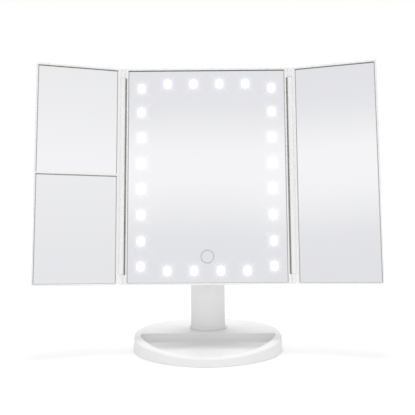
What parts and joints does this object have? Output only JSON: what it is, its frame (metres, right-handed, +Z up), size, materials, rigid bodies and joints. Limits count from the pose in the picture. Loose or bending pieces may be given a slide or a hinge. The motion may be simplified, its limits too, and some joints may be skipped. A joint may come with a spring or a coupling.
{
  "type": "lighted vanity mirror",
  "caption": "Tri-fold make-up mirror: lamp-lit centre mirror between two folding wings, on a tilting pillar with an oval tray base.",
  "frame": {"origin": "centre of the oval base, on the surface it stands on", "axes": "+X to the right seen from the user, along the width; -Y towards the user; +Z up"},
  "size_m": [0.338, 0.1178, 0.2879],
  "materials": {
    "white_plastic": "moulded white ABS, fine satin texture",
    "pillar_plastic": "moulded white ABS, satin, a shade greyer than the head",
    "ballast_steel": "sawn steel ballast, dull",
    "core_steel": "folded steel strap, zinc plated",
    "pad_rubber": "closed-cell foam rubber",
    "zinc_steel": "zinc-plated steel",
    "spring_steel": "nickel-plated spring steel",
    "bush_plastic": "black acetal",
    "mirror_glass": "silvered flat glass",
    "lamp_diffuser": "translucent white diffuser, lit from behind",
    "touch_grey": "grey ring set flush in the glass",
    "foam_tape": "double-sided foam tape",
    "baffle_plastic": "white moulded baffle",
    "circuit_board": "green lacquered circuit board",
    "lamp_chip": "yellow phosphor on a white package",
    "chip_black": "black moulded packages",
    "battery_cell": "cell cans in a plain printed sleeve",
    "wire_sleeve": "red wire insulation"
  },
  "bodies": {
    "base": {"base_shell": "white_plastic", "base_bottom_plate": "white_plastic", "base_weight": "ballast_steel", "anti_slip_pad": "pad_rubber", "base_screws": "zinc_steel", "weight_screws": "zinc_steel", "column_foot_screws": "zinc_steel", "column_front_shell": "pillar_plastic", "column_rear_shell": "pillar_plastic", "column_collar": "white_plastic", "column_core": "core_steel", "column_shell_screws": "zinc_steel"},
    "head": {"tilt_caps": "white_plastic", "hinge_yoke": "white_plastic", "main_frame": "white_plastic", "back_cover": "white_plastic", "yoke_screws": "zinc_steel", "back_cover_screws": "zinc_steel", "tilt_shaft": "zinc_steel", "tilt_spring_washers": "zinc_steel", "tilt_nut": "zinc_steel", "left_hinge_rod": "zinc_steel", "right_hinge_rod": "zinc_steel", "touch_spring": "spring_steel", "battery_springs": "spring_steel", "battery_contact_plates": "spring_steel", "usb_socket": "spring_steel", "tilt_bushes": "bush_plastic", "power_switch_body": "bush_plastic", "main_mirror": "mirror_glass", "light_windows": "lamp_diffuser", "touch_ring": "touch_grey", "mirror_tape": "foam_tape", "lamp_baffle": "baffle_plastic", "led_board": "circuit_board", "control_board": "circuit_board", "leds": "lamp_chip", "control_chips": "chip_black", "battery_cells": "battery_cell", "lead_wires": "wire_sleeve"},
    "left_wing": {"left_wing_frame": "white_plastic", "left_wing_back": "white_plastic", "left_upper_mirror": "mirror_glass", "left_lower_mirror": "mirror_glass", "left_mirror_tape": "foam_tape", "left_hinge_bushes": "bush_plastic"},
    "right_wing": {"right_wing_frame": "white_plastic", "right_wing_back": "white_plastic", "right_mirror": "mirror_glass", "right_mirror_tape": "foam_tape", "right_hinge_bushes": "bush_plastic"},
    "switch_slider": {"power_switch_slider": "bush_plastic"},
    "battery_door": {"battery_door": "white_plastic"}
  },
  "joints": [
    {"name": "head_tilt", "type": "hinge", "parent": "base", "child": "head", "pos_m": [0, 0.0216, 0.1], "axis": [-1, 0, 0], "range_deg": [-12, 45]},
    {"name": "left_wing_fold", "type": "hinge", "parent": "head", "child": "left_wing", "pos_m": [-0.085, 0.00195, 0.17601], "axis": [0, 0.1564, 0.9877], "range_deg": [-14.5, 165]},
    {"name": "right_wing_fold", "type": "hinge", "parent": "head", "child": "right_wing", "pos_m": [0.085, 0.00195, 0.17601], "axis": [0, -0.1564, -0.9877], "range_deg": [-14.5, 165]},
    {"name": "power_switch", "type": "slide", "parent": "head", "child": "switch_slider", "axis": [0, 0.1564, 0.9877], "range_m": [0, 0.003]},
    {"name": "battery_door_lift", "type": "slide", "parent": "head", "child": "battery_door", "axis": [0, 0.9877, -0.1564], "range_m": [0, 0.03]}
  ]
}
